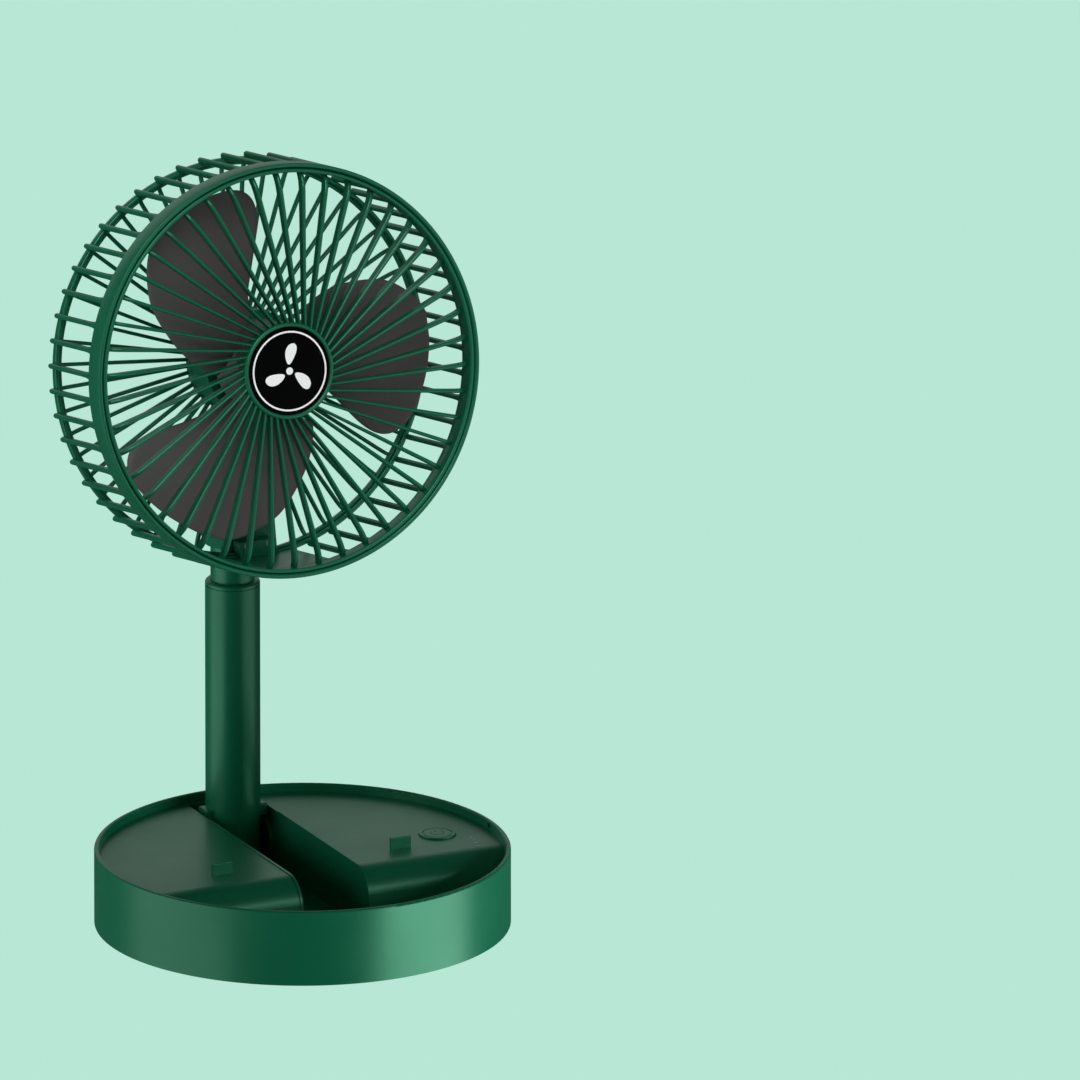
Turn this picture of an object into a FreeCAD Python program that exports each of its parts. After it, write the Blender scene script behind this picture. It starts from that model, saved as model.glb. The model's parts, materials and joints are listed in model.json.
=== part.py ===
import FreeCAD, Part
import math
import os
from FreeCAD import Vector

# Folding desk fan, millimetres. +Z is up, the front is -Y, the origin is the centre of the base's
# underside. The pole folds forward into the base's trench, and the head lands face up on the rim.

# Base
base_radius = 95.0
base_height = 36.5
base_wall = 2.3
shell_bottom = 1.2
cover_top = 2.8
deck_top = 32.5
deck_thickness = 2.2
well_floor = 8.0
shoulder_start = -23.0
shoulder_radius = 13.0
trench_half_width = 16.5
trench_floor = 4.4
trench_front = -89.5
trench_back = 89.0
trench_wall = 2.0
casing_thickness = 1.6
boss_top = 31.0
lip_width = 1.2
lip_height = 0.4
rim_inner = base_radius - base_wall
foot_radius = 8.0
screw_radius = 1.3
screw_head_radius = 2.6
foot_places = [(62, 50), (-62, 50), (58, -56), (-58, -56)]
base_screw_places = [(58, 62), (-58, 62), (44, -74), (-44, -74)]
tab_x = 44.75
tab_y = -9.5
tab_size = (10.1, 1.4, 5.5)
notch_y = -2.5
notch_size = (0.9, 3.0, 2.2)

# Power button, board and port
button_x = 68.5
button_y = 1.5
button_radius = 8.5
button_gap = 0.2
button_proud = 0.8
button_travel = 1.2
board_x = (44.0, 84.0)
board_y = (-22.0, 36.0)
board_bottom = 20.0
board_top = 21.6
board_screw_x = 54.5
board_screw_y = (-18.0, 30.0)
port_y = 24.0
port_size = (7.3, 8.9, 3.2)
lens_radius = 0.9

# Battery
cell_places = (-34.0, -54.0)
cell_radius = 9.1
cell_length = 65.0
cell_front = -10.0
cell_z = 13.5

# Pole
pivot_y = 75.4
pivot_z = 17.5
pole_radius = 12.6
tube_bore = 10.7
collar_top = 143.0
collar_seam = 140.5
spigot_bottom = 123.5
inner_radius = 10.1
inner_wall = 1.2
inner_bottom = 44.0
bush_top = 62.0
tube_floor = 36.0
inner_top = 157.0
plug_bottom = 145.0
friction_bottom = 134.0
friction_top = 136.0
lug_x = 15.2
lug_width = 9.0
lug_bottom = 29.0
lug_top = 34.5
running_gap = 0.05
pin_radius = 3.0

# Neck
neck_z = 170.4
neck_radius = 10.0
tongue_half = 6.0
disc_outer_x = 7.9
ear_outer_x = 12.5
neck_pin_radius = 2.5

# Head. It is modelled face up, with its front plane at z = 0 and the neck towards -Y, and then
# turned and moved to its place.
head_radius = 95.0
head_tilt = 10.0
hinge_depth = 77.0
hinge_drop = 77.5
band_depth = 10.5
rib_count = 51
rib_width = 2.5
rib_end = 57.0
cage_inner = 92.4
panel_half_angle = 10.6
rear_ring_inner = 89.9
rear_ring_front = 53.5
rear_ring_back = 57.5
bridge_bottom = -88.6
bridge_top = -64.0
bracket_screw_x = 5.5
bracket_screw_y = -85.5
web_half = 9.5
web_top = -83.0
web_front = 50.0
grille_seat = 8.0
grille_outer = 92.5
lip_inner = 90.7
spoke_count = 46
spoke_offset = 8.8
spoke_width = 1.3
spoke_depth = 5.0
spoke_recess = 0.8
spoke_dip = 4.0
hub_ring_outer = 22.4
badge_radius = 20.2
rear_rib_width = 1.6
rear_rib_outer = 88.0
rear_depth = 60.8
motor_radius = 23.9
can_radius = 17.0
shaft_radius = 1.6

# Rotor
rotor_hub_radius = 20.5
rotor_front = 11.0
rotor_back = 37.0
blade_count = 3
blade_middle = 38.0
blade_thickness = 1.6
# Sections of a blade across its middle line: distance out, trailing edge, leading edge.
blade_sections = [
    (14.0, -22.0, 9.0), (22.0, -25.5, 13.0), (30.0, -28.0, 20.5), (37.0, -28.9, 30.5),
    (43.0, -28.8, 40.0), (50.0, -27.8, 47.8), (57.0, -26.4, 50.3), (64.0, -24.0, 48.6),
    (70.0, -19.5, 42.5), (76.0, -13.8, 31.5), (80.0, -8.2, 20.0), (82.0, -3.5, 8.5)]

x_axis = Vector(1, 0, 0)
z_axis = Vector(0, 0, 1)
neck_hinge = Vector(0, pivot_y, neck_z)


# --- shapes ---

def rod(radius, bottom, top, x=0.0, y=0.0):
    return Part.makeCylinder(radius, top - bottom, Vector(x, y, bottom))


def ring(outer, inner, bottom, top, x=0.0, y=0.0):
    return rod(outer, bottom, top, x, y).cut(rod(inner, bottom - 1, top + 1, x, y))


def rod_x(radius, start, end, y, z):
    return Part.makeCylinder(radius, end - start, Vector(start, y, z), x_axis)


def ring_x(outer, inner, start, end, y, z):
    return rod_x(outer, start, end, y, z).cut(rod_x(inner, start - 1, end + 1, y, z))


def block(x0, x1, y0, y1, z0, z1):
    return Part.makeBox(x1 - x0, y1 - y0, z1 - z0, Vector(x0, y0, z0))


def polygon_wire(points):
    return Part.makePolygon([Vector(*point) for point in points + points[:1]])


def revolve(profile):
    face = Part.Face(polygon_wire([(radius, 0, z) for radius, z in profile]))
    return face.revolve(Vector(0, 0, 0), z_axis, 360)


def round_edges(shape, radius, wanted):
    edges = [edge for edge in shape.Edges if wanted(edge)]
    return shape.makeFillet(radius, edges)


def level_circle(edge, radius, height):
    if not isinstance(edge.Curve, Part.Circle):
        return False
    centre = edge.Curve.Center
    same_radius = abs(edge.Curve.Radius - radius) < 0.01
    return same_radius and abs(centre.z - height) < 0.01 and math.hypot(centre.x, centre.y) < 0.01


def turned(shape, degrees):
    copy = shape.copy()
    copy.rotate(Vector(0, 0, 0), z_axis, degrees)
    return copy


def both_sides(shape):
    return [shape, shape.mirror(Vector(0, 0, 0), x_axis)]


def placed_head(shape):
    placed = shape.copy()
    placed.translate(Vector(0, hinge_drop, hinge_depth))
    placed.rotate(Vector(0, 0, 0), x_axis, 90 - head_tilt)
    placed.translate(neck_hinge)
    return placed


def save(name, shapes):
    solids = []
    for shape in shapes if isinstance(shapes, list) else [shapes]:
        solids += shape.Solids
    result = solids[0] if len(solids) == 1 else Part.makeCompound(solids)
    if not result.isValid():
        raise ValueError(name + " is not a valid solid")
    result.exportStep("parts/" + name + ".step")
    print(name, len(solids), "solids", round(result.Volume), "mm3")


# --- base ---

def well_solid(grow):
    """The space in front of the deck's rounded shoulder, made larger by grow on every side."""
    centre_z = deck_top - shoulder_radius
    radius = shoulder_radius - grow

    def on_arc(degrees):
        angle = math.radians(degrees)
        return Vector(-100, shoulder_start + radius * math.cos(angle),
                      centre_z + radius * math.sin(angle))

    low = well_floor - grow
    foot = on_arc(170)
    shoulder = Part.Arc(on_arc(90), on_arc(130), foot).toShape()
    rest = [foot, Vector(-100, foot.y - 2.0, low + 3.0), Vector(-100, foot.y - 5.0, low),
            Vector(-100, -100, low), Vector(-100, -100, 60), Vector(-100, shoulder_start, 60), on_arc(90)]
    outline = Part.Wire([shoulder] + Part.makePolygon(rest).Edges)
    return Part.Face(outline).extrude(Vector(200, 0, 0))


def trench_solid(grow):
    half = trench_half_width + grow
    return block(-half, half, trench_front - grow, trench_back + grow, trench_floor - grow, 60)


def boss(place, bottom, top):
    return rod(3.2, bottom, top, *place)


def port_mouth():
    length, width, height = port_size
    return block(85, 100, port_y - width / 2 - 0.5, port_y + width / 2 + 0.5,
                 board_top - 0.5, board_top + height + 0.5)


def outer_band():
    band = ring(base_radius, rim_inner, shell_bottom, base_height)
    band = round_edges(band, 1.0, lambda edge: level_circle(edge, base_radius, base_height))
    band = round_edges(band, 0.9, lambda edge: level_circle(edge, rim_inner, base_height))
    depth, width, height = notch_size
    for side in both_sides(block(rim_inner - 1, rim_inner + depth, notch_y - width / 2,
                                 notch_y + width / 2, base_height - 1 - height, base_height - 1)):
        band = band.cut(side)
    return band.cut(port_mouth())


def base_deck():
    deck = rod(rim_inner, shell_bottom, deck_top).cut(well_solid(0)).cut(trench_solid(0))
    cavity = rod(rim_inner + 1, shell_bottom - 1, deck_top - deck_thickness)
    cavity = cavity.cut(well_solid(deck_thickness))
    casing_floor = trench_floor - casing_thickness
    cavity = cavity.cut(trench_solid(trench_wall).common(rod(rim_inner + 1, casing_floor, 60)))
    for place in base_screw_places:
        cavity = cavity.cut(boss(place, cover_top, boss_top))
    for y in board_screw_y:
        cavity = cavity.cut(boss((board_screw_x, y), board_top, boss_top))
    deck = deck.cut(cavity)
    for place in base_screw_places:
        deck = deck.cut(rod(screw_radius, 1, 7, *place))
    for side in both_sides(rod_x(8.5, 14.6, trench_half_width, pivot_y, pivot_z)):
        deck = deck.fuse(side)
    deck = deck.fuse(trench_lips())
    deck = deck.cut(rod_x(pin_radius, -25, 25, pivot_y, pivot_z))
    deck = deck.cut(rod(button_radius + button_gap, 25, 40, button_x, button_y))
    for x, y in lens_places():
        deck = deck.cut(rod(lens_radius, 25, 40, x, y))
    return deck.cut(port_mouth()).removeSplitter()


def deck_tabs():
    """Two upright tabs that pass between the rear ribs and centre the folded head."""
    width, thickness, height = tab_size
    tab = block(tab_x - width / 2, tab_x + width / 2, tab_y - thickness / 2,
                tab_y + thickness / 2, deck_top, deck_top + height)
    tab = round_edges(tab, 0.4, lambda edge: edge.BoundBox.ZMin > deck_top + 0.1)
    return both_sides(tab)


def trench_lips():
    """Thin raised lips along both edges of the trench, which run on down the shoulder."""
    half = trench_half_width + lip_width
    lips = block(-half, half, -50, 62, well_floor - 1, deck_top + lip_height)
    return lips.cut(well_solid(-lip_height)).cut(trench_solid(0)).Solids


def lens_places():
    places = []
    for step in range(4):
        angle = math.radians(-6.5 - 3.0 * step)
        places.append((81.0 * math.cos(angle), 81.0 * math.sin(angle)))
    return places


def base_cover():
    cover = rod(rim_inner - 0.1, shell_bottom, cover_top)
    for place in foot_places:
        cover = cover.cut(rod(foot_radius, shell_bottom - 1, 1.8, *place))
    for place in base_screw_places:
        cover = cover.cut(rod(screw_radius, 0, 5, *place))
        cover = cover.cut(rod(screw_head_radius, 0, 2.2, *place))
    return cover


def base_feet():
    return [round_edges(rod(foot_radius, 0, 1.8, *place), 0.5,
                        lambda edge: edge.BoundBox.ZMax < 0.01) for place in foot_places]


def base_screws():
    screws = []
    for place in base_screw_places:
        head = rod(screw_head_radius, shell_bottom + 0.2, 2.2, *place)
        slot = block(place[0] - 2, place[0] + 2, place[1] - 0.3, place[1] + 0.3, 0, 1.8)
        screws.append(head.fuse(rod(screw_radius, 2, 7, *place)).cut(slot).removeSplitter())
    return screws


def rod_y(radius, start, end, x, z):
    return Part.makeCylinder(radius, end - start, Vector(x, start, z), Vector(0, 1, 0))


def battery_cells():
    cells = []
    back = cell_front + cell_length
    for x in cell_places:
        cell = rod_y(cell_radius, cell_front, back, x, cell_z)
        cells.append(cell.fuse(rod_y(3.0, back, back + 1.2, x, cell_z)))
    return cells


def battery_cradle():
    cradle = block(-65, -23, -13, 58, cover_top, 9.5)
    for x in cell_places:
        cradle = cradle.cut(rod_y(cell_radius + 0.1, cell_front - 0.6, 56.4, x, cell_z))
    return cradle


def control_board():
    board = block(*board_x, *board_y, board_bottom, board_top)
    return board.common(rod(89.5, 10, 30))


def board_screws():
    return [rod(2.4, board_bottom - 1.4, board_bottom, board_screw_x, y) for y in board_screw_y]


def push_switch():
    body = block(button_x - 3, button_x + 3, button_y - 3, button_y + 3, board_top, board_top + 3.4)
    return body.fuse(rod(1.7, board_top + 3, board_top + 4.6, button_x, button_y)).removeSplitter()


def button_pad():
    return ring(7.2, 5.8, board_top, 27.4, button_x, button_y)


def charging_port():
    length, width, height = port_size
    outer = block(84.4, 84.4 + length, port_y - width / 2, port_y + width / 2,
                  board_top, board_top + height)
    outer = round_edges(outer, 1.4, lambda edge: edge.BoundBox.XLength > length - 0.1)
    mouth = block(86, 95, port_y - width / 2 + 0.35, port_y + width / 2 - 0.35,
                  board_top + 0.35, board_top + height - 0.35)
    mouth = round_edges(mouth, 1.1, lambda edge: edge.BoundBox.XLength > 8.9)
    tongue = block(85.5, 91.0, port_y - 3.2, port_y + 3.2, board_top + 1.3, board_top + 1.9)
    return outer.cut(mouth).fuse(tongue).removeSplitter()


def indicator_lenses():
    return [rod(lens_radius, deck_top - deck_thickness - 1.5, deck_top + 0.1, x, y)
            for x, y in lens_places()]


def power_button():
    top = deck_top + button_proud
    cap = rod(button_radius, 28.9, top, button_x, button_y)
    cap = round_edges(cap, 0.5, lambda edge: edge.BoundBox.ZMin > top - 0.01)
    flange = rod(button_radius + 1.2, 28.9, 30.2, button_x, button_y)
    stem = rod(2.4, board_top + 4.6 + button_travel + 0.1, 29, button_x, button_y)
    groove = ring(6.9, 6.3, top - 0.3, top + 1, button_x, button_y)
    return cap.fuse([flange, stem]).cut(groove).removeSplitter()


# --- pole ---

def pole_pin():
    return rod_x(pin_radius, -20.5, 20.5, pivot_y, pivot_z)


def pole_clips():
    clip = ring_x(5.2, pin_radius, trench_half_width + trench_wall, 19.5, pivot_y, pivot_z)
    return both_sides(clip)


def pole_washers():
    return both_sides(ring_x(8.0, pin_radius, pole_radius + 0.1, 14.6, pivot_y, pivot_z))


def outer_tube():
    knuckle = rod_x(pole_radius, -pole_radius, pole_radius, pivot_y, pivot_z)
    knuckle = knuckle.common(rod(pole_radius, 0, 60, 0, pivot_y))
    lug = block(pole_radius - 1.5, lug_x, pivot_y - lug_width / 2, pivot_y + lug_width / 2,
                lug_bottom, lug_top)
    lug = round_edges(lug, 0.6, lambda edge: edge.BoundBox.ZMin > lug_top - 0.01)
    tube = rod(pole_radius, pivot_z, collar_seam, 0, pivot_y).fuse([knuckle] + both_sides(lug))
    tube = tube.cut(rod(tube_bore, tube_floor, collar_top + 1, 0, pivot_y))
    bore = rod_x(pin_radius + running_gap, -20, 20, pivot_y, pivot_z)
    return tube.cut(bore).removeSplitter()


def tube_collar():
    slide = inner_radius + running_gap
    spigot = ring(tube_bore, slide, spigot_bottom, collar_seam, 0, pivot_y)
    spigot = spigot.cut(ring(tube_bore + 1, slide - 1, friction_bottom, friction_top, 0, pivot_y))
    cap = rod(pole_radius, collar_seam, collar_top, 0, pivot_y)
    cap = round_edges(cap, 1.6, lambda edge: edge.BoundBox.ZMin > collar_top - 0.01)
    cap = cap.cut(rod(slide, 100, 150, 0, pivot_y))
    groove = ring(pole_radius + 1, pole_radius - 0.4, collar_seam, collar_seam + 0.4, 0, pivot_y)
    collar = cap.cut(groove).fuse(spigot).removeSplitter()
    return collar.Solids


def friction_ring():
    return ring(tube_bore, inner_radius + running_gap, friction_bottom, friction_top, 0, pivot_y)


def inner_tube():
    return ring(inner_radius, inner_radius - inner_wall, inner_bottom, inner_top, 0, pivot_y)


def slide_bush():
    return ring(tube_bore - running_gap, inner_radius, inner_bottom, bush_top, 0, pivot_y)


# --- neck ---

def neck_knuckle():
    plug = rod(inner_radius - inner_wall, plug_bottom, inner_top, 0, pivot_y)
    cap = rod(inner_radius, inner_top, neck_z - neck_radius - 0.5, 0, pivot_y)
    tongue = block(-tongue_half, tongue_half, pivot_y - neck_radius, pivot_y + neck_radius,
                   inner_top + 2, neck_z)
    tongue = tongue.common(rod(inner_radius, 150, 180, 0, pivot_y))
    head = rod_x(neck_radius, -tongue_half, tongue_half, pivot_y, neck_z)
    bore = rod_x(neck_pin_radius + running_gap, -20, 20, pivot_y, neck_z)
    return plug.fuse([cap, tongue, head]).cut(bore).removeSplitter()


def neck_pin():
    return rod_x(neck_pin_radius, -13.0, 13.0, pivot_y, neck_z)


def neck_discs():
    disc = ring_x(8.0, neck_pin_radius, tongue_half + 0.1, disc_outer_x, pivot_y, neck_z)
    return both_sides(disc)


def head_bracket():
    hinge_y = -hinge_drop
    hinge_low = -hinge_depth
    bridge = block(-ear_outer_x, ear_outer_x, bridge_bottom, bridge_top, hinge_low + 11.2, -rear_ring_back)
    bridge = round_edges(bridge, 2.0, lambda edge: edge.BoundBox.ZLength > 5)
    inner_x = disc_outer_x + 0.1
    ears = []
    for side in both_sides(rod_x(neck_radius, inner_x, ear_outer_x, hinge_y, hinge_low)):
        ears.append(side)
    for side in both_sides(block(inner_x, ear_outer_x, hinge_y - neck_radius,
                                 hinge_y + neck_radius, hinge_low, hinge_low + 12)):
        ears.append(side)
    bore = rod_x(neck_pin_radius + running_gap, -20, 20, hinge_y, hinge_low)
    bracket = bridge.fuse(ears).cut(bore)
    for x in (-bracket_screw_x, bracket_screw_x):
        bracket = bracket.cut(rod(1.5, -70, -50, x, bracket_screw_y))
    return bracket.removeSplitter()


def bracket_screws():
    screws = []
    for x in (-bracket_screw_x, bracket_screw_x):
        shaft = rod(1.5, -65.8, -50.0, x, bracket_screw_y)
        screws.append(shaft.fuse(rod(2.6, -67.2, -65.8, x, bracket_screw_y)).removeSplitter())
    return screws


# --- head ---

def side_cage():
    band = revolve([(head_radius, -1.0), (head_radius - 0.5, -0.3), (head_radius - 1.0, 0),
                    (cage_inner + 1.0, 0), (cage_inner + 0.3, -0.8), (cage_inner + 0.3, -grille_seat),
                    (lip_inner, -grille_seat), (lip_inner, -band_depth + 1), (cage_inner, -band_depth),
                    (head_radius, -band_depth)])
    bars = []
    for index in range(rib_count):
        angle = -90 + (index + 0.5) * 360.0 / rib_count
        bar = block(cage_inner - 0.4, head_radius - 0.03, -rib_width / 2, rib_width / 2,
                    -rib_end, -band_depth + 0.5)
        bars.append(turned(bar, angle))
    rear_ring = ring(cage_inner, rear_ring_inner, -rear_ring_back, -rear_ring_front)
    sector = Part.makeCylinder(cage_inner + 0.3, rib_end - band_depth + 0.6, Vector(0, 0, -rib_end),
                               z_axis, 2 * panel_half_angle)
    sector.rotate(Vector(0, 0, 0), z_axis, -90 - panel_half_angle)
    panel = sector.cut(rod(cage_inner - 1.3, -70, 0))
    web = block(-web_half, web_half, -91.6, web_top, -rear_ring_back, -web_front)
    cage = band.fuse(bars + [rear_ring, panel, web])
    for x in (-bracket_screw_x, bracket_screw_x):
        cage = cage.cut(rod(1.5, -70, -50, x, bracket_screw_y))
    return cage.removeSplitter()


def spoke_shape():
    """One grille spoke along +X, beside the axis by spoke_offset."""
    start = math.sqrt(hub_ring_outer ** 2 - spoke_offset ** 2) - 0.8
    end = math.sqrt(lip_inner ** 2 - spoke_offset ** 2) + 0.4
    front = -spoke_recess
    points = [(start, front), (end - 9.0, front), (end - 6.0, front - 0.5)]
    points += [(end - 3.0, front - 1.8), (end, front - spoke_dip)]
    points += [(end, front - spoke_dip - 3.0), (end - 7.0, front - spoke_depth - 1.2)]
    points += [(end - 14.0, front - spoke_depth), (start, front - spoke_depth)]
    low = -spoke_offset - spoke_width / 2
    face = Part.Face(polygon_wire([(x, low, z) for x, z in points]))
    return face.extrude(Vector(0, spoke_width, 0))


def front_grille():
    lip = revolve([(grille_outer, -0.8), (grille_outer - 0.8, 0), (lip_inner + 0.5, 0),
                   (lip_inner, -0.6), (lip_inner, -grille_seat), (grille_outer, -grille_seat)])
    hub = revolve([(hub_ring_outer, -0.9), (hub_ring_outer - 0.9, 0), (badge_radius, 0),
                   (badge_radius, -1.6), (0, -1.6), (0, -3.2), (badge_radius - 0.8, -3.2),
                   (badge_radius - 0.8, -6.5), (hub_ring_outer, -6.5)])
    spokes = [turned(spoke_shape(), index * 360.0 / spoke_count) for index in range(spoke_count)]
    return lip.fuse(spokes + [hub]).removeSplitter()


def badge_disc():
    disc = rod(badge_radius - 0.1, -1.6, -0.1)
    disc = round_edges(disc, 0.4, lambda edge: edge.BoundBox.ZMin > -0.15)
    return disc.cut(ring(18.4, 17.6, -0.35, 1))


def badge_ring():
    return ring(18.4, 17.6, -0.35, 0.0)


def rear_grille():
    outer = ring(rear_ring_inner - 0.1, rear_ring_inner - 4.0, -rear_ring_back, -rear_ring_front - 1)
    disc = ring(motor_radius + 0.6, 4.0, -rear_depth, -57.0)
    bars = []
    for index in range(rib_count):
        angle = -90 + (index + 0.5) * 360.0 / rib_count
        bar = block(motor_radius, rear_rib_outer, -rear_rib_width / 2, rear_rib_width / 2,
                    -rear_depth, -rear_ring_back)
        bars.append(turned(bar, angle))
    grille = outer.fuse(bars + [disc])
    window = block(-ear_outer_x, ear_outer_x, -93, bridge_top, -62, -rear_ring_back)
    notch = block(-web_half - 0.1, web_half + 0.1, -93, web_top + 0.1, -58, -web_front)
    grille = grille.cut(window).cut(notch)
    for place in motor_screw_places():
        grille = grille.cut(rod(screw_radius, -62, -56, *place))
    return grille.removeSplitter()


def motor_screw_places():
    places = []
    for index in range(3):
        angle = math.radians(90 + 120 * index)
        places.append((11.0 * math.cos(angle), 11.0 * math.sin(angle)))
    return places


def motor_housing():
    wall = ring(motor_radius, motor_radius - 1.8, -57.0, -39.0)
    floor = ring(motor_radius, can_radius, -41.0, -39.0)
    return wall.fuse(floor).removeSplitter()


def motor_can():
    can = rod(can_radius, -57.0, -40.0).cut(rod(can_radius - 1.5, -55.5, -41.2))
    can = can.cut(rod(4.0, -60, -30))
    for place in motor_screw_places():
        can = can.cut(rod(screw_radius, -58, -54, *place))
    return can


def motor_bushes():
    bore = shaft_radius + running_gap
    return [ring(4.0, bore, -42.5, -39.5), ring(4.0, bore, -57.0, -54.0)]


def motor_magnets():
    full = ring(can_radius - 1.5, 13.3, -53.0, -44.0)
    return full.cut(block(-30, 30, -3, 3, -60, -30)).Solids


def motor_screws():
    screws = []
    for x, y in motor_screw_places():
        shaft = rod(screw_radius, -rear_depth, -54.2, x, y)
        screws.append(shaft.fuse(rod(2.5, -rear_depth - 0.5, -rear_depth, x, y)).removeSplitter())
    return screws


def motor_shaft():
    return rod(shaft_radius, -56.0, -9.5)


def motor_armature():
    core = ring(12.6, shaft_radius, -53.0, -44.0)
    for index in range(3):
        core = core.cut(turned(block(6.0, 20.0, -1.2, 1.2, -60, -30), 120.0 * index))
    return core


# --- rotor ---

def blade_depth(distance, across):
    """Depth of the blade's middle surface behind the front plane."""
    angle = math.degrees(math.atan2(across, distance)) - blade_middle
    turn = min(max((angle + 95.0) / 101.0, 0.0), 1.0)
    return 11.6 + 26.0 * turn ** 1.2


def blade_section(distance, trailing, leading):
    stations = 10
    upper = []
    lower = []
    for step in range(stations + 1):
        part = step / stations
        across = trailing + (leading - trailing) * part
        swell = 0.45 + 0.55 * math.sqrt(max(0.0, 1 - (2 * part - 1) ** 2))
        half = blade_thickness / 2 * swell
        depth = blade_depth(distance, across)
        upper.append(Vector(distance, -across, -depth + half))
        lower.append(Vector(distance, -across, -depth - half))
    lower.reverse()
    front = Part.BSplineCurve()
    front.interpolate(upper)
    back = Part.BSplineCurve()
    back.interpolate(lower)
    return Part.Wire([front.toShape(), Part.makeLine(upper[-1], lower[0]),
                      back.toShape(), Part.makeLine(lower[-1], upper[0])])


def fan_rotor():
    blade = Part.makeLoft([blade_section(*values) for values in blade_sections], True, False)
    hub = revolve([(0, -rotor_front), (rotor_hub_radius - 3, -rotor_front),
                   (rotor_hub_radius - 0.9, -rotor_front - 0.9),
                   (rotor_hub_radius, -rotor_front - 3), (rotor_hub_radius, -rotor_back),
                   (rotor_hub_radius - 1.8, -rotor_back), (rotor_hub_radius - 1.8, -rotor_front - 4),
                   (5.0, -rotor_front - 2.5), (5.0, -34.0), (0, -34.0)])
    keep_out = rod(rotor_hub_radius - 1.0, -60, 0)
    blades = [turned(blade.cut(keep_out), 90 + blade_middle + 120.0 * index)
              for index in range(blade_count)]
    rotor = hub.fuse(blades)
    return rotor.cut(rod(shaft_radius, -60, 0)).removeSplitter()


def rotor_nut():
    nut = Part.Face(polygon_wire([(5.0 * math.cos(math.radians(60 * index)),
                                   5.0 * math.sin(math.radians(60 * index)), -rotor_front)
                                  for index in range(6)])).extrude(Vector(0, 0, 2.4))
    return nut.cut(rod(shaft_radius, -20, 0))


def main():
    os.makedirs("parts", exist_ok=True)
    upright = [
        outer_band, base_deck, deck_tabs, base_cover, base_feet, base_screws, battery_cells, battery_cradle,
        control_board, board_screws, push_switch, button_pad, charging_port, indicator_lenses,
        power_button, pole_pin, pole_clips, pole_washers, outer_tube, tube_collar, friction_ring,
        inner_tube, slide_bush, neck_knuckle, neck_pin, neck_discs]
    face_up = [
        head_bracket, bracket_screws, side_cage, front_grille, badge_disc, badge_ring, rear_grille,
        motor_housing, motor_can, motor_bushes, motor_magnets, motor_screws, motor_shaft,
        motor_armature, fan_rotor, rotor_nut]
    for make in upright:
        save(make.__name__, make())
    for make in face_up:
        shapes = make()
        shapes = shapes if isinstance(shapes, list) else [shapes]
        save(make.__name__, [placed_head(shape) for shape in shapes])


main()
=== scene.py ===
import json
import math

import bmesh
import bpy
from mathutils import Matrix, Vector

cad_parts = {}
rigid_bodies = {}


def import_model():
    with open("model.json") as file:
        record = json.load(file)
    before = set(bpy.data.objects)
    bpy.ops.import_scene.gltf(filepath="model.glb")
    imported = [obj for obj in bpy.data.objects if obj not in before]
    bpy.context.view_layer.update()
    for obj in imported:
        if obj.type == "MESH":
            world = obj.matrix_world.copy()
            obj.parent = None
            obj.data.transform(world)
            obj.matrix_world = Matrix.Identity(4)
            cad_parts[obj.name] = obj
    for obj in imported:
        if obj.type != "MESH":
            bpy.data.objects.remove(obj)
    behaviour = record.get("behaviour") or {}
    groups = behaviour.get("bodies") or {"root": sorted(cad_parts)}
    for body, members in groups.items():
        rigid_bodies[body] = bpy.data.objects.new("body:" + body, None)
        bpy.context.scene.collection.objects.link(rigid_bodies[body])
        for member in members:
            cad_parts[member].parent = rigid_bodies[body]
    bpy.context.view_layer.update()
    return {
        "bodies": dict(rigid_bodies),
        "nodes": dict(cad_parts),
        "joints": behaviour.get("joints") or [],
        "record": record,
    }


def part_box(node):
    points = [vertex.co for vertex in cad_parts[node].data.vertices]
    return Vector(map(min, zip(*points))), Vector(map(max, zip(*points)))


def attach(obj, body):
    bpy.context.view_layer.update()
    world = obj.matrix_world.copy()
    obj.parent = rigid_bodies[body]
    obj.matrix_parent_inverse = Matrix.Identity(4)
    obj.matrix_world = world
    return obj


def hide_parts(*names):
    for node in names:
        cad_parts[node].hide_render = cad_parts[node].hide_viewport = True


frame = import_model()
print("frame loaded:", len(frame["nodes"]), "nodes")

mm = 0.001  # pieces are drawn in millimetres and placed in metres
upright = Matrix.Scale(mm, 4)


def jointNamed(name):
    return next(joint for joint in frame["joints"] if joint["name"] == name)


def headMatrix():
    # the head lies face up in its own drawing: +Z is its axis, +Y runs from the neck to the top
    spinJoint = jointNamed("rotor_spin")
    faceDir = Vector(spinJoint["axis"]).normalized()
    sideDir = Vector((1, 0, 0))
    upDir = faceDir.cross(sideDir)
    turn = Matrix((sideDir, upDir, faceDir)).transposed().to_4x4()
    return Matrix.Translation(Vector(spinJoint["pos_m"])) @ turn @ Matrix.Scale(mm, 4)


headPlace = headMatrix()


# ---- camera, floor and light ----

view = {
    "azimuth": -25.2,
    "elevation": 17.8,
    "aimRight": 0.1082,
    "aimUp": 0.1745,
    "distance": 21.88,
    "lens": 1600,  # a very long lens far away, so that round parts keep their true ellipses
    "sensor": 36,
    "clipEnd": 50,
}


def viewAxes():
    azimuth = math.radians(view["azimuth"])
    elevation = math.radians(view["elevation"])
    back = Vector((math.sin(azimuth) * math.cos(elevation),
                   -math.cos(azimuth) * math.cos(elevation), math.sin(elevation)))
    right = Vector((math.cos(azimuth), math.sin(azimuth), 0))
    return right, back.cross(right), back


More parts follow.
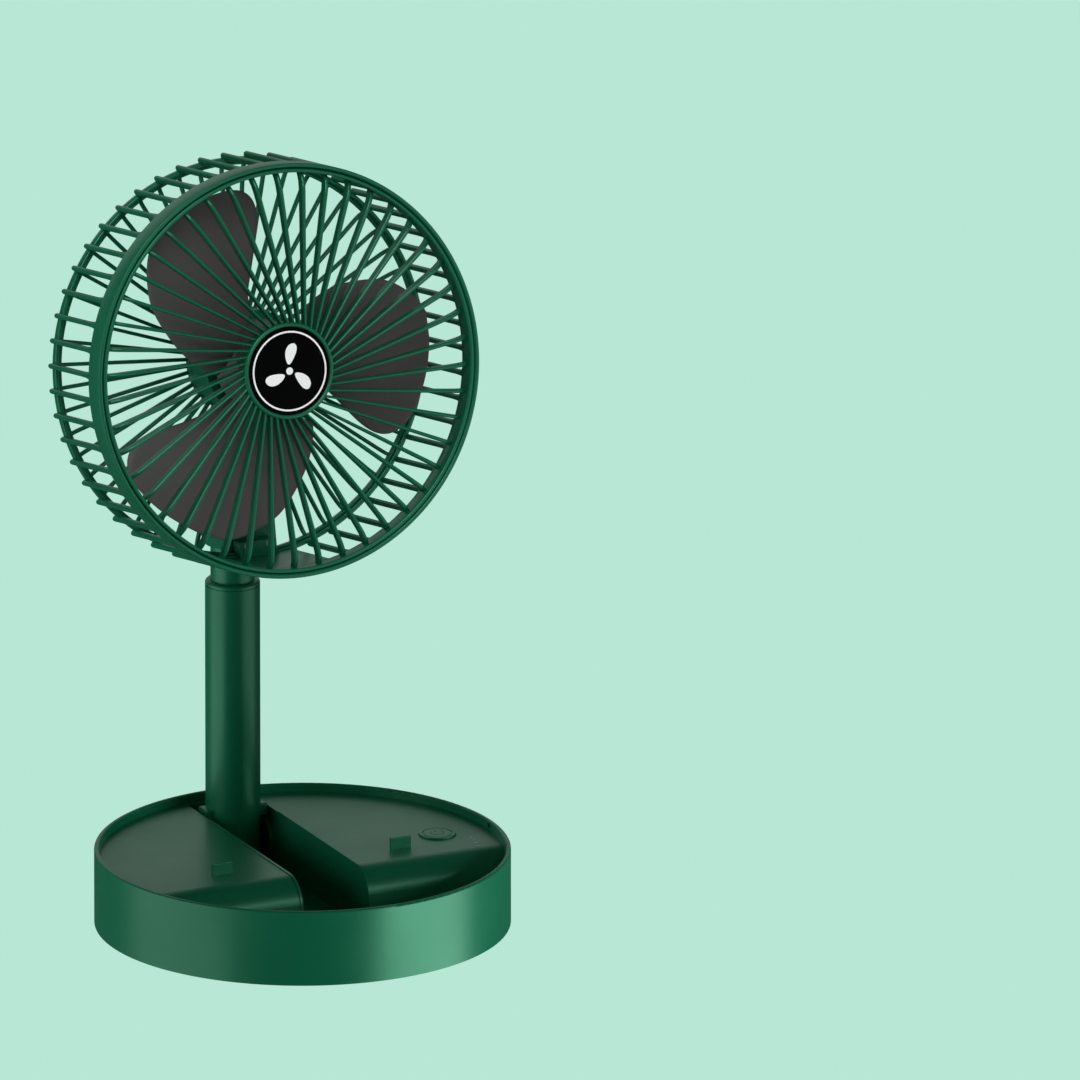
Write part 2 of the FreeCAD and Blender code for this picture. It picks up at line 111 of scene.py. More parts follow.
def addCamera():
    bpy.context.scene.view_settings.view_transform = "Standard"
    right, up, back = viewAxes()
    data = bpy.data.cameras.new("camera")
    data.lens = view["lens"]
    data.sensor_width = view["sensor"]
    data.clip_end = view["clipEnd"]
    camera = bpy.data.objects.new("camera", data)
    place = Matrix((right, up, back)).transposed().to_4x4()
    place.translation = right * view["aimRight"] + up * view["aimUp"] + back * view["distance"]
    camera.matrix_world = place
    bpy.context.scene.collection.objects.link(camera)
    bpy.context.scene.camera = camera


studio = {
    "backdrop": (0.485, 0.799, 0.665),
    "ambient": 0.085,
    "floorHalf": 6,
    "aimHeight": 0.18,
    "receivers": {
        "trayPanel": ["base", "power_button"],
        "rightPanel": ["outer_pole", "inner_pole", "neck", "head", "rotor"],
        "topPanel": ["head", "rotor"],
    },
    "printReceivers": ["badge_ring", "badgeMark"],  # the white print has a panel of its own
    "lights": [
        # name, azimuth from the front (positive is right), height, distance, width, tall, glow
        ("trayPanel", 46, -0.10, 1.25, 1.25, 1.60, 2.7),
        ("rightPanel", 50, -0.05, 1.25, 1.45, 1.60, 0.56),
        ("leftPanel", -97, 0.00, 1.30, 1.60, 1.60, 0.80),
        ("backPanel", 163, 0.60, 1.60, 1.90, 1.00, 0.35),
        ("topPanel", -15, 1.50, 1.50, 1.20, 1.00, 3.6),
        ("printPanel", -20, 0.45, 1.50, 1.20, 1.20, 2.6),
    ],
}


def addStudio():
    world = bpy.data.worlds.new("backdrop")
    bpy.context.scene.world = world
    world.use_nodes = True
    backdropNodes(world.node_tree, "ShaderNodeBackground", world.node_tree.nodes["World Output"])
    bm = bmesh.new()
    bmesh.ops.create_grid(bm, x_segments=1, y_segments=1, size=studio["floorHalf"])
    mesh = bpy.data.meshes.new("floor")
    bm.to_mesh(mesh)
    bm.free()
    floor = bpy.data.objects.new("floor", mesh)
    bpy.context.scene.collection.objects.link(floor)
    paint = bpy.data.materials.new("floorPaint")
    paint.use_nodes = True
    paint.node_tree.nodes.remove(paint.node_tree.nodes["Principled BSDF"])
    backdropNodes(paint.node_tree, "ShaderNodeEmission", paint.node_tree.nodes["Material Output"])
    mesh.materials.append(paint)
    floor.visible_diffuse = floor.visible_glossy = floor.visible_shadow = False
    for row in studio["lights"]:
        addPanel(*row)


def backdropNodes(tree, kind, output):
    # full strength where it is seen directly, weaker where it lights the fan
    shader = next((node for node in tree.nodes if node.bl_idname == kind), None)
    shader = shader or tree.nodes.new(kind)
    shader.inputs["Color"].default_value = (*studio["backdrop"], 1)
    path = tree.nodes.new("ShaderNodeLightPath")
    strength = tree.nodes.new("ShaderNodeMapRange")
    strength.inputs["To Min"].default_value = studio["ambient"]
    strength.inputs["To Max"].default_value = 1.0
    tree.links.new(path.outputs["Is Camera Ray"], strength.inputs["Value"])
    tree.links.new(strength.outputs["Result"], shader.inputs["Strength"])
    tree.links.new(shader.outputs[0], output.inputs["Surface"])


def addPanel(name, azimuth, height, distance, width, tall, glow):
    data = bpy.data.lights.new(name, "AREA")
    data.shape = "RECTANGLE"
    data.size = width
    data.size_y = tall
    data.energy = glow * math.pi * width * tall
    panel = bpy.data.objects.new(name, data)
    angle = math.radians(azimuth)
    panel.location = (math.sin(angle) * distance, -math.cos(angle) * distance, height)
    aim = Vector((0, 0, studio["aimHeight"])) - panel.location
    panel.rotation_euler = aim.to_track_quat("-Z", "Y").to_euler()
    panel.visible_camera = False
    bpy.context.scene.collection.objects.link(panel)


addCamera()
addStudio()
print("camera, floor and lights set")


# ---- shader groups ----

def addNode(tree, kind, **values):
    node = tree.nodes.new(kind)
    for name, value in values.items():
        if name in node.inputs:
            node.inputs[name].default_value = value
        else:
            setattr(node, name, value)
    return node


def newGroup(name, inputs, outputs):
    group = bpy.data.node_groups.new(name, "ShaderNodeTree")
    for label, kind, value in inputs:
        socket = group.interface.new_socket(label, in_out="INPUT", socket_type=kind)
        socket.default_value = value
    for label, kind in outputs:
        group.interface.new_socket(label, in_out="OUTPUT", socket_type=kind)
    start = group.nodes.new("NodeGroupInput")
    end = group.nodes.new("NodeGroupOutput")
    return group, start, end


def mixMap(tree, factor, low, high):
    # a number that goes from the low socket to the high socket with the factor
    node = addNode(tree, "ShaderNodeMapRange")
    tree.links.new(factor, node.inputs["Value"])
    tree.links.new(low, node.inputs["To Min"])
    tree.links.new(high, node.inputs["To Max"])
    return node.outputs["Result"]


def makeGrainGroup():
    # moulded plastic: spark-eroded grain for the bump, and slow patches of polish
    group, start, end = newGroup(
        "mouldedGrain",
        [("Grain", "NodeSocketFloat", 2200.0), ("Patch", "NodeSocketFloat", 22.0),
         ("Rough Low", "NodeSocketFloat", 0.30), ("Rough High", "NodeSocketFloat", 0.42)],
        [("Roughness", "NodeSocketFloat"), ("Height", "NodeSocketFloat")])
    links = group.links
    coords = group.nodes.new("ShaderNodeTexCoord")
    fine = addNode(group, "ShaderNodeTexNoise", Detail=3.0, Roughness=0.6)
    pits = addNode(group, "ShaderNodeTexVoronoi")
    slow = addNode(group, "ShaderNodeTexNoise", Detail=4.0, Roughness=0.55)
    for node, scale in ((fine, "Grain"), (pits, "Grain"), (slow, "Patch")):
        links.new(coords.outputs["Object"], node.inputs["Vector"])
        links.new(start.outputs[scale], node.inputs["Scale"])
    blend = addNode(group, "ShaderNodeMix", data_type="FLOAT")
    blend.inputs["Factor"].default_value = 0.35
    links.new(fine.outputs["Fac"], blend.inputs["A"])
    links.new(pits.outputs["Distance"], blend.inputs["B"])
    spread = addNode(group, "ShaderNodeMapRange")
    spread.inputs["From Min"].default_value = 0.35
    spread.inputs["From Max"].default_value = 0.65
    links.new(slow.outputs["Fac"], spread.inputs["Value"])
    rough = mixMap(group, spread.outputs["Result"], start.outputs["Rough Low"], start.outputs["Rough High"])
    links.new(rough, end.inputs["Roughness"])
    links.new(blend.outputs["Result"], end.inputs["Height"])
    return group


def makeTintGroup():
    # two close colours that drift into each other over the surface, as pigment does in a moulding
    group, start, end = newGroup(
        "pigmentDrift",
        [("Colour", "NodeSocketColor", (0.5, 0.5, 0.5, 1)),
         ("Second", "NodeSocketColor", (0.4, 0.4, 0.4, 1)),
         ("Scale", "NodeSocketFloat", 14.0)],
        [("Colour", "NodeSocketColor")])
    links = group.links
    coords = group.nodes.new("ShaderNodeTexCoord")
    noise = addNode(group, "ShaderNodeTexNoise", Detail=5.0, Roughness=0.6, Distortion=0.4)
    links.new(coords.outputs["Object"], noise.inputs["Vector"])
    links.new(start.outputs["Scale"], noise.inputs["Scale"])
    spread = addNode(group, "ShaderNodeMapRange")
    spread.inputs["From Min"].default_value = 0.38
    spread.inputs["From Max"].default_value = 0.62
    links.new(noise.outputs["Fac"], spread.inputs["Value"])
    mix = addNode(group, "ShaderNodeMix", data_type="RGBA")
    links.new(spread.outputs["Result"], mix.inputs["Factor"])
    links.new(start.outputs["Colour"], mix.inputs["A"])
    links.new(start.outputs["Second"], mix.inputs["B"])
    links.new(mix.outputs["Result"], end.inputs["Colour"])
    return group


def makeHandlingGroup():
    # faint hairlines and fingertip smears that change the gloss, not the colour
    group, start, end = newGroup(
        "handlingMarks",
        [("Roughness", "NodeSocketFloat", 0.3), ("Amount", "NodeSocketFloat", 0.08),
         ("Scale", "NodeSocketFloat", 30.0)],
        [("Roughness", "NodeSocketFloat")])
    links = group.links
    coords = group.nodes.new("ShaderNodeTexCoord")
    stretch = addNode(group, "ShaderNodeMapping", Scale=(1.0, 1.0, 6.0))
    noise = addNode(group, "ShaderNodeTexNoise", Detail=6.0, Roughness=0.7, Distortion=1.2)
    links.new(coords.outputs["Object"], stretch.inputs["Vector"])
    links.new(stretch.outputs["Vector"], noise.inputs["Vector"])
    links.new(start.outputs["Scale"], noise.inputs["Scale"])
    centred = addNode(group, "ShaderNodeMath", operation="SUBTRACT")
    centred.inputs[1].default_value = 0.5
    links.new(noise.outputs["Fac"], centred.inputs[0])
    scaled = addNode(group, "ShaderNodeMath", operation="MULTIPLY")
    links.new(centred.outputs[0], scaled.inputs[0])
    links.new(start.outputs["Amount"], scaled.inputs[1])
    total = addNode(group, "ShaderNodeMath", operation="ADD", use_clamp=True)
    links.new(start.outputs["Roughness"], total.inputs[0])
    links.new(scaled.outputs[0], total.inputs[1])
    links.new(total.outputs[0], end.inputs["Roughness"])
    return group


grainGroup = makeGrainGroup()
tintGroup = makeTintGroup()
handlingGroup = makeHandlingGroup()


def useGroup(tree, group, **values):
    node = tree.nodes.new("ShaderNodeGroup")
    node.node_tree = group
    for name, value in values.items():
        node.inputs[name.replace("_", " ")].default_value = value
    return node


def mouldedMaterial(name, look):
    material = bpy.data.materials.new(name)
    material.use_nodes = True
    tree = material.node_tree
    shader = tree.nodes["Principled BSDF"]
    tint = useGroup(tree, tintGroup, Colour=(*look["colour"], 1), Second=(*look["second"], 1),
                    Scale=look.get("drift", 14.0))
    grain = useGroup(tree, grainGroup, Grain=look.get("grain", 2200.0), Rough_Low=look["rough"][0],
                     Rough_High=look["rough"][1])
    marks = useGroup(tree, handlingGroup, Amount=look.get("marks", 0.06))
    bump = addNode(tree, "ShaderNodeBump", Strength=look.get("bump", 0.12), Distance=0.0002)
    tree.links.new(tint.outputs["Colour"], shader.inputs["Base Color"])
    tree.links.new(grain.outputs["Roughness"], marks.inputs["Roughness"])
    tree.links.new(marks.outputs["Roughness"], shader.inputs["Roughness"])
    tree.links.new(grain.outputs["Height"], bump.inputs["Height"])
    tree.links.new(bump.outputs["Normal"], shader.inputs["Normal"])
    shader.inputs["Metallic"].default_value = look.get("metal", 0.0)
    shader.inputs["Specular IOR Level"].default_value = look.get("specular", 0.5)
    shader.inputs["Coat Weight"].default_value = look.get("coat", 0.0)
    shader.inputs["Coat Roughness"].default_value = look.get("coatRough", 0.2)
    return material


finishes = {
    "greenSatin": {"colour": (0.0045, 0.205, 0.098), "second": (0.0055, 0.222, 0.108),
                   "rough": (0.30, 0.36), "specular": 0.62, "metal": 0.3, "bump": 0.06},
    "rotorGrey": {"colour": (0.150, 0.132, 0.134), "second": (0.165, 0.146, 0.148),
                  "rough": (0.40, 0.50), "specular": 0.45, "bump": 0.10},
    "badgeBlack": {"colour": (0.0010, 0.0010, 0.0012), "second": (0.0018, 0.0018, 0.0020),
                   "rough": (0.20, 0.26), "specular": 0.04, "bump": 0.01, "marks": 0.04},
    "printWhite": {"colour": (0.94, 0.95, 0.95), "second": (0.90, 0.91, 0.91), "rough": (0.40, 0.50),
                   "bump": 0.04},
    "markGreen": {"colour": (0.0022, 0.045, 0.022), "second": (0.003, 0.055, 0.027), "rough": (0.45, 0.55),
                  "bump": 0.05},
    "rubberBlack": {"colour": (0.014, 0.014, 0.015), "second": (0.022, 0.022, 0.023), "rough": (0.65, 0.80),
                    "grain": 1400.0, "bump": 0.35},
    "plainBlack": {"colour": (0.016, 0.016, 0.017), "second": (0.022, 0.022, 0.023), "rough": (0.42, 0.55),
                   "bump": 0.2},
    "platedSteel": {"colour": (0.55, 0.55, 0.56), "second": (0.46, 0.46, 0.47), "rough": (0.22, 0.36),
                    "metal": 1.0, "grain": 900.0, "bump": 0.08},
    "turnedBrass": {"colour": (0.72, 0.48, 0.18), "second": (0.60, 0.38, 0.13), "rough": (0.25, 0.40),
                    "metal": 1.0, "bump": 0.08},
    "cellWrap": {"colour": (0.012, 0.09, 0.30), "second": (0.016, 0.11, 0.36), "rough": (0.25, 0.35)},
    "boardLacquer": {"colour": (0.008, 0.10, 0.04), "second": (0.012, 0.13, 0.055), "rough": (0.25, 0.35),
                     "drift": 160.0},
    "lensClear": {"colour": (0.30, 0.40, 0.35), "second": (0.24, 0.34, 0.30), "rough": (0.10, 0.16)},
}
materials = {name: mouldedMaterial(name, look) for name, look in finishes.items()}
print("materials made:", len(materials))

nodeFinish = {
    "green_shell": "greenSatin", "rotor_grey": "rotorGrey", "badge_black": "badgeBlack",
    "badge_white": "printWhite", "rubber": "rubberBlack", "steel": "platedSteel",
    "black_plastic": "plainBlack", "cell_wrap": "cellWrap", "board_green": "boardLacquer",
    "lens_clear": "lensClear", "brass": "turnedBrass",
}


def paintNodes():
    for row in frame["record"]["subparts"]:
        node = frame["nodes"][row["node"]]
        finish = materials[nodeFinish[row["material_slot"]]]
        for slot in node.material_slots:
            slot.material = finish


paintNodes()


# ---- shared modelling steps ----

def spinSolid(bm, profile, soften=0.0, steps=192, sweep=360.0, startAngle=0.0):
    # a closed outline of (radius, height) points turned about Z, with its corners rounded first
    ring = bmesh.new()
    verts = [ring.verts.new((radius, 0, z)) for radius, z in profile]
    ring.faces.new(verts)
    if soften:
        bmesh.ops.bevel(ring, geom=verts, offset=soften, offset_type="OFFSET", segments=3,
                        profile=0.5, affect="VERTICES", material=-1)
    bmesh.ops.rotate(ring, verts=ring.verts, cent=(0, 0, 0),
                     matrix=Matrix.Rotation(math.radians(startAngle), 3, "Z"))
    full = sweep >= 360.0
    if full:
        bmesh.ops.delete(ring, geom=list(ring.faces), context="FACES_ONLY")
    bmesh.ops.spin(ring, geom=[*ring.verts, *ring.edges, *ring.faces], cent=(0, 0, 0), axis=(0, 0, 1),
                   dvec=(0, 0, 0), angle=math.radians(sweep), steps=steps, use_merge=full,
                   use_duplicate=False)
    mesh = bpy.data.meshes.new("ring")
    ring.to_mesh(mesh)
    ring.free()
    bm.from_mesh(mesh)
    bpy.data.meshes.remove(mesh)


def roundedBar(bm, width, depth, stations, sides=12):
    # a bar with half-round edges that starts at the first station and is drawn on to the others
    first = stations[0]
    half = Matrix.Rotation(math.radians(180.0 / sides), 4, "Z")
    made = bmesh.ops.create_circle(bm, segments=sides, radius=width / 2, cap_ends=True,
                                   matrix=Matrix.Rotation(math.radians(90), 4, "Y") @ half)
    verts = made["verts"]
    for vert in verts:
        vert.co.z += math.copysign(depth / 2 - width / 2, vert.co.z)
    everything = list(verts)
    face = verts[0].link_faces[0]
    here = Vector((0, 0, 0))
    widthNow = depthNow = 1.0
    for along, height, wide, deep in stations:
        if (along, height, wide, deep) != first:
            grown = bmesh.ops.extrude_face_region(bm, geom=[face])["geom"]
            verts = [item for item in grown if isinstance(item, bmesh.types.BMVert)]
            face = next(item for item in grown if isinstance(item, bmesh.types.BMFace))
            everything += verts
        target = Vector((along, 0, height))
        bmesh.ops.translate(bm, verts=verts, vec=target - here)
        bmesh.ops.scale(bm, verts=verts, vec=(1, wide / widthNow, deep / depthNow),
                        space=Matrix.Translation(-target))
        here, widthNow, depthNow = target, wide, deep
    return everything


def repeatAround(bm, verts, angles):
    # copies of one drawn part at the given angles; the drawn part itself is removed
    seeds = set(verts)
    geom = list(verts)
    geom += [edge for edge in bm.edges if seeds.issuperset(edge.verts)]
    geom += [face for face in bm.faces if seeds.issuperset(face.verts)]
    for angle in angles:
        copied = bmesh.ops.duplicate(bm, geom=geom)["geom"]
        newVerts = [item for item in copied if isinstance(item, bmesh.types.BMVert)]
        bmesh.ops.rotate(bm, verts=newVerts, cent=(0, 0, 0),
                         matrix=Matrix.Rotation(math.radians(angle), 3, "Z"))
    bmesh.ops.delete(bm, geom=list(verts), context="VERTS")


def softBox(bm, size, centre, soften):
    place = Matrix.Translation(Vector(centre)) @ Matrix.Diagonal((*size, 1))
    made = bmesh.ops.create_cube(bm, size=1.0, matrix=place)
    edges = list({edge for vert in made["verts"] for edge in vert.link_edges})
    bmesh.ops.bevel(bm, geom=edges, offset=soften, offset_type="OFFSET", segments=3,
                    profile=0.5, affect="EDGES", material=-1)


def finishPiece(name, bm, place, body, finish, replaced=(), sharp=38.0):
    bm.transform(place)
    bmesh.ops.remove_doubles(bm, verts=bm.verts, dist=1e-7)
    bmesh.ops.recalc_face_normals(bm, faces=bm.faces)
    mesh = bpy.data.meshes.new(name)
    bm.to_mesh(mesh)
    bm.free()
    mesh.shade_smooth()
    mesh.set_sharp_from_angle(angle=math.radians(sharp))
    mesh.materials.append(materials[finish])
    piece = bpy.data.objects.new(name, mesh)
    bpy.context.scene.collection.objects.link(piece)
    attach(piece, body)
    if replaced:
        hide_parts(*replaced)
    return piece


ribCount = 51
ribAngles = [-90 + (index + 0.5) * 360.0 / ribCount for index in range(ribCount)]


# ---- front grille ----

grille = {
    "outer": 92.5, "lipInner": 90.7, "seat": 8.0,
    "hubOuter": 22.2, "hubInner": 20.2, "hubDepth": 6.5,
    "discDepth": 3.4, "discFace": 1.7,
    "spokes": 46, "offset": 8.8, "hubWidth": 1.05, "rimWidth": 1.75, "depth": 4.6,
    "recess": 0.9, "dip": 3.4, "bendLength": 9.0, "bendAngle": 60,
}


def makeFrontGrille():
    bm = bmesh.new()
    spinSolid(bm, [(grille["outer"], -grille["seat"]), (grille["outer"], 0),
                   (grille["lipInner"], 0), (grille["lipInner"], -grille["seat"])], soften=0.6)
    spinSolid(bm, [(grille["hubOuter"], -grille["hubDepth"]), (grille["hubOuter"], 0),
                   (grille["hubInner"], 0), (grille["hubInner"], -grille["hubDepth"])],
              soften=0.8, steps=96)
    disc = grille["hubInner"] + 0.5
    spinSolid(bm, [(disc, -grille["discDepth"]), (disc, -grille["discFace"]), (0.0, -grille["discFace"]),
                   (0.0, -grille["discDepth"])], steps=96)
    start = math.sqrt(grille["hubOuter"] ** 2 - grille["offset"] ** 2) - 0.9
    end = math.sqrt(grille["lipInner"] ** 2 - grille["offset"] ** 2) + 0.6
    middle = -grille["recess"] - grille["depth"] / 2
    growth = grille["rimWidth"] / grille["hubWidth"]
    stations = [(start, middle, 1.0, 1.0)]
    for share in (0.25, 0.5, 0.75):
        stations.append((start + (end - 11 - start) * share, middle, 1 + (growth - 1) * share, 1.0))
    bend, full = grille["bendLength"], math.radians(grille["bendAngle"])
    for step in range(6):
        turn = full * step / 5  # the end bends back on a curve
        stations.append((end - bend + bend * math.sin(turn) / math.sin(full),
                         middle - grille["dip"] * (1 - math.cos(turn)) / (1 - math.cos(full)), growth, 1.0))
    bar = roundedBar(bm, grille["hubWidth"], grille["depth"], stations)
    bmesh.ops.translate(bm, verts=bar, vec=(0, -grille["offset"], 0))
    repeatAround(bm, bar, [index * 360.0 / grille["spokes"] for index in range(grille["spokes"])])
    return finishPiece("grilleFront", bm, headPlace, "head", "greenSatin", ["front_grille"])


# ---- side cage ----

cage = {
    "outer": 95.0, "inner": 92.4, "bandDepth": 12.0, "ribWidth": 2.5, "ribEnd": 57.0,
    "ringOuter": 92.6, "ringInner": 90.2, "ringFront": 53.5, "ringBack": 57.5,
    # the recess that the front grille sits in, and the closed panel and block at the neck
    "chamfer": 93.35, "recess": 92.75, "shelf": 91.4, "shelfDepth": 8.1,
    "panelHalf": 10.6, "panelInner": 91.1, "panelOuter": 92.7, "panelFront": 9.8,
    "blockSize": (19.0, 8.4, 7.4), "blockCentre": (0, -87.3, -53.75),
}


def makeSideCage():
    bm = bmesh.new()
    spinSolid(bm, [(cage["outer"], -cage["bandDepth"]), (cage["outer"], -0.15), (cage["chamfer"], -0.15),
                   (cage["recess"], -1.3), (cage["recess"], -cage["shelfDepth"]),
                   (cage["shelf"], -cage["shelfDepth"]), (cage["shelf"], -cage["bandDepth"] + 0.6),
                   (cage["inner"], -cage["bandDepth"])], soften=0.35, steps=256)
    spinSolid(bm, [(cage["ringOuter"], -cage["ringBack"]), (cage["ringOuter"], -cage["ringFront"]),
                   (cage["ringInner"], -cage["ringFront"]), (cage["ringInner"], -cage["ringBack"])],
              soften=0.7)
    spinSolid(bm, [(cage["panelInner"], -cage["ribEnd"]), (cage["panelOuter"], -cage["ribEnd"]),
                   (cage["panelOuter"], -cage["panelFront"]), (cage["panelInner"], -cage["panelFront"])],
              steps=12, sweep=2 * cage["panelHalf"], startAngle=-90 - cage["panelHalf"])
    thick = cage["outer"] - cage["inner"] + 0.4
    middle = cage["outer"] - thick / 2
    # drawn lying along +X and then stood on its end beside the band
    root = cage["bandDepth"]
    stations = [(root - 0.9, 0, 2.3, 0.96), (root + 0.3, 0, 1.9, 0.96), (root + 1.8, 0, 1.4, 1.0),
                (root + 4.0, 0, 1.15, 1.0), (root + 8.0, 0, 1.0, 1.0), (cage["ribEnd"] - 1.0, 0, 1.0, 1.0),
                (cage["ribEnd"] - 0.3, 0, 0.86, 0.9), (cage["ribEnd"], 0, 0.6, 0.7)]
    bar = roundedBar(bm, cage["ribWidth"], thick, stations, sides=16)
    stand = Matrix(((0, 0, 1), (0, 1, 0), (-1, 0, 0))).to_4x4()
    bmesh.ops.transform(bm, matrix=Matrix.Translation((middle, 0, 0)) @ stand, verts=bar)
    repeatAround(bm, bar, ribAngles)
    softBox(bm, cage["blockSize"], cage["blockCentre"], 0.8)
    return finishPiece("cageSide", bm, headPlace, "head", "greenSatin", ["side_cage"])


# ---- rear grille ----

rear = {
    "ringOuter": 90.1, "ringInner": 89.0, "ringBack": 57.6, "ringFront": 54.6,
    "ribWidth": 1.7, "ribDepth": 2.8, "back": 60.8, "start": 23.0, "end": 90.0, "shortEnd": 63.6,
    "discRadius": 24.5, "discFront": 57.0, "boreRadius": 4.0, "kneeAt": 55.0,
    "bendLength": 5.0, "bendRise": 4.0, "neckHalf": 11,  # degrees each side of the neck with short ribs
}


def makeRearGrille():
    bm = bmesh.new()
    spinSolid(bm, [(rear["ringOuter"], -rear["ringBack"]), (rear["ringOuter"], -rear["ringFront"]),
                   (rear["ringInner"], -rear["ringFront"]), (rear["ringInner"], -rear["ringBack"])],
              soften=0.3)
    spinSolid(bm, [(rear["discRadius"], -rear["back"]), (rear["discRadius"], -rear["discFront"]),
                   (rear["boreRadius"], -rear["discFront"]), (rear["boreRadius"], -rear["back"])],
              soften=0.8, steps=96)
    middle = -rear["back"] + rear["ribDepth"] / 2
    bend = [(math.sin(math.radians(angle)), 1 - math.cos(math.radians(angle))) for angle in (0, 20, 40, 60)]
    straight = [(rear["start"], middle, 1.0, 1.0), (rear["kneeAt"], middle, 1.0, 1.0)]
    short = straight + [(rear["shortEnd"], middle, 1.0, 1.0)]
    long = list(straight)
    for across, rise in bend:
        along = rear["end"] - rear["bendLength"] + rear["bendLength"] * across / bend[-1][0]
        long.append((along, middle + rear["bendRise"] * rise, 1.0, 1.0 - 0.3 * rise))
    nearNeck = [angle for angle in ribAngles if abs((angle + 90 + 180) % 360 - 180) < rear["neckHalf"]]
    others = [angle for angle in ribAngles if angle not in nearNeck]
    for stations, angles in ((long, others), (short, nearNeck)):
        repeatAround(bm, roundedBar(bm, rear["ribWidth"], rear["ribDepth"], stations), angles)
    return finishPiece("grilleRear", bm, headPlace, "head", "greenSatin", ["rear_grille"])


# ---- rotor ----

rotor = {
    "hubRadius": 20.5, "front": 11.0, "back": 37.0, "wall": 1.8, "floor": 2.6, "nose": 2.2,
    "shaftRadius": 1.7, "bossRadius": 5.0, "bossGap": 4, "blades": 3, "middle": 38.0,
    "thick": 1.5, "across": 16,
    # distance out along the blade, trailing edge, leading edge
    "sections": [(18.6, -24.0, 11.0), (24.0, -26.4, 14.6), (30.0, -28.0, 20.5), (37.0, -28.9, 30.5),
                 (43.0, -28.8, 40.0), (50.0, -27.8, 47.8), (57.0, -26.4, 50.3), (64.0, -24.0, 48.6),
                 (70.0, -19.5, 42.5), (75.5, -14.2, 33.0), (79.5, -9.0, 22.5), (82.0, -3.0, 9.0)],
}


def bladeDepth(distance, across):
    angle = math.degrees(math.atan2(across, distance)) - rotor["middle"]
    turn = min(max((angle + 95.0) / 101.0, 0.0), 1.0)
    return 11.6 + 26.0 * turn ** 1.2


def makeBlades():
    bm = bmesh.new()
    rows = len(rotor["sections"]) - 1
    made = bmesh.ops.create_grid(bm, x_segments=rows, y_segments=rotor["across"], size=0.5)
    for vert in made["verts"]:
        distance, trailing, leading = rotor["sections"][round((vert.co.x + 0.5) * rows)]
        across = trailing + (leading - trailing) * (vert.co.y + 0.5)
        vert.co = (distance, -across, -bladeDepth(distance, across))
    first = 90 + rotor["middle"]
    repeatAround(bm, made["verts"], [first + 120.0 * index for index in range(rotor["blades"])])
    piece = finishPiece("rotorBlades", bm, headPlace, "rotor", "rotorGrey", ["fan_rotor"],
                        sharp=80.0)
    solid = piece.modifiers.new("thickness", "SOLIDIFY")
    solid.thickness = rotor["thick"] * mm
    solid.offset = 0
    smooth = piece.modifiers.new("smooth", "SUBSURF")
    smooth.levels = smooth.render_levels = 2
    return piece


def makeRotorHub():
    bm = bmesh.new()
    outer, inner = rotor["hubRadius"], rotor["hubRadius"] - rotor["wall"]
    front, back = -rotor["front"], -rotor["back"]
    nose, floor = rotor["nose"], front - rotor["floor"]
    shaft, boss, bossBack = rotor["shaftRadius"], rotor["bossRadius"], back + rotor["bossGap"]
    spinSolid(bm, [(outer, back), (outer, front - nose), (outer - nose, front), (shaft, front),
                   (shaft, bossBack), (boss, bossBack), (boss, floor), (inner - 1.5, floor),
                   (inner, floor - 1.6), (inner, back)], soften=0.6, steps=96)
    return finishPiece("rotorHub", bm, headPlace, "rotor", "rotorGrey", ["fan_rotor"])


# ---- marks on the badge and the button ----

badge = {"petals": 3, "petalStart": 3.0, "petalLength": 9.5, "petalWidth": 6.2, "sweep": 0.16, "hub": 1.7,
         "face": -0.1, "proud": 0.04}


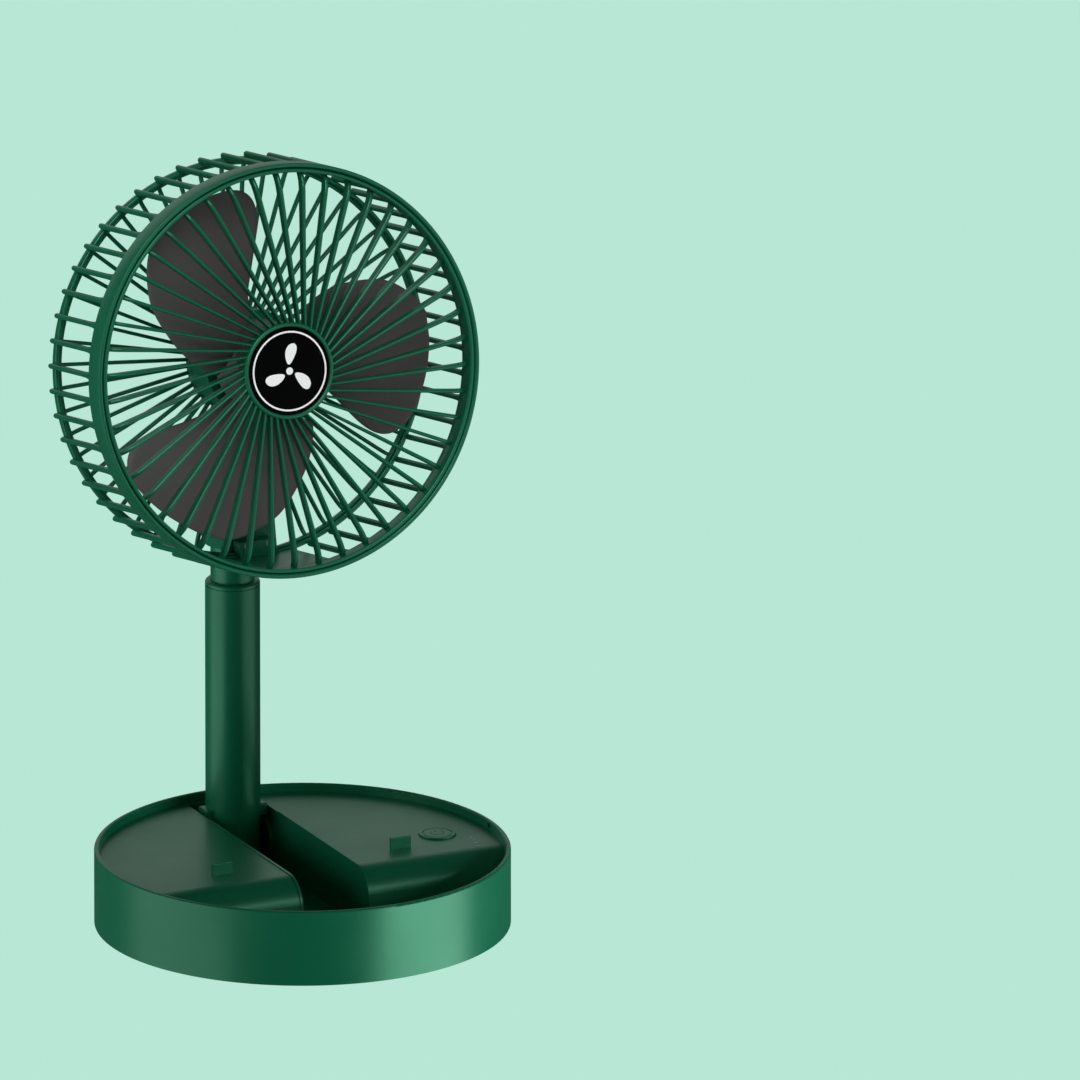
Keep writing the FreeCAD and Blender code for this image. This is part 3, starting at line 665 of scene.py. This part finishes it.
def makeBadgeMark():
    # a plain three-petal fan sign
    bm = bmesh.new()
    made = bmesh.ops.create_circle(bm, segments=28, radius=0.5, cap_ends=True)
    for vert in made["verts"]:
        along = max(vert.co.x + 0.5, 0.0)
        out = badge["petalLength"] * along
        vert.co.x = badge["petalStart"] + out
        vert.co.y = vert.co.y * badge["petalWidth"] * (0.55 + 0.6 * along) - badge["sweep"] * out ** 1.2
    repeatAround(bm, made["verts"], [90 + 120 * index for index in range(badge["petals"])])
    bmesh.ops.create_circle(bm, segments=28, radius=badge["hub"], cap_ends=True)
    flat = list(bm.faces)
    grown = bmesh.ops.extrude_face_region(bm, geom=flat)["geom"]
    bmesh.ops.translate(bm, verts=[item for item in grown if isinstance(item, bmesh.types.BMVert)],
                        vec=(0, 0, badge["proud"]))
    bmesh.ops.translate(bm, verts=bm.verts, vec=(0, 0, badge["face"]))
    return finishPiece("badgeMark", bm, headPlace, "head", "printWhite")


button = {"radius": 3.0, "line": 0.5, "proud": 0.03, "gap": 40.0}


def makePowerMark():
    low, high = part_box("power_button")
    centre = ((low[0] + high[0]) / 2 / mm, (low[1] + high[1]) / 2 / mm, high[2] / mm)
    bm = bmesh.new()
    half = button["line"] / 2
    spinSolid(bm, [(button["radius"] - half, 0), (button["radius"] + half, 0),
                   (button["radius"] + half, button["proud"]), (button["radius"] - half, button["proud"])],
              steps=40, sweep=360 - 2 * button["gap"] - 0.01, startAngle=90 + button["gap"])
    bmesh.ops.create_cube(bm, size=1.0, matrix=Matrix.Translation(
        (0, button["radius"] * 0.85, button["proud"] / 2)) @ Matrix.Diagonal(
            (button["line"], button["radius"] * 1.1, button["proud"], 1)))
    bmesh.ops.translate(bm, verts=bm.verts, vec=centre)
    return finishPiece("powerMark", bm, upright, "power_button", "markGreen")


makeFrontGrille()
makeSideCage()
makeRearGrille()
print("cage made")
makeBlades()
makeRotorHub()
print("rotor made")
makeBadgeMark()
makePowerMark()
print("marks made")


def aimAt(panel, pieces):
    receivers = bpy.data.collections.new(panel + "Receivers")
    for piece in pieces:
        receivers.objects.link(piece)
    bpy.data.objects[panel].light_linking.receiver_collection = receivers


def aimLights():
    # the tray, the pole and the head each stand in light of their own, as in a studio with flags
    meshes = [item for item in bpy.data.objects if item.type == "MESH"]
    for panel, bodies in studio["receivers"].items():
        empties = [frame["bodies"][body] for body in bodies]
        aimAt(panel, [item for item in meshes if item.parent in empties])
    aimAt("printPanel", [frame["nodes"].get(name) or bpy.data.objects[name]
                         for name in studio["printReceivers"]])


aimLights()
print("lights aimed")
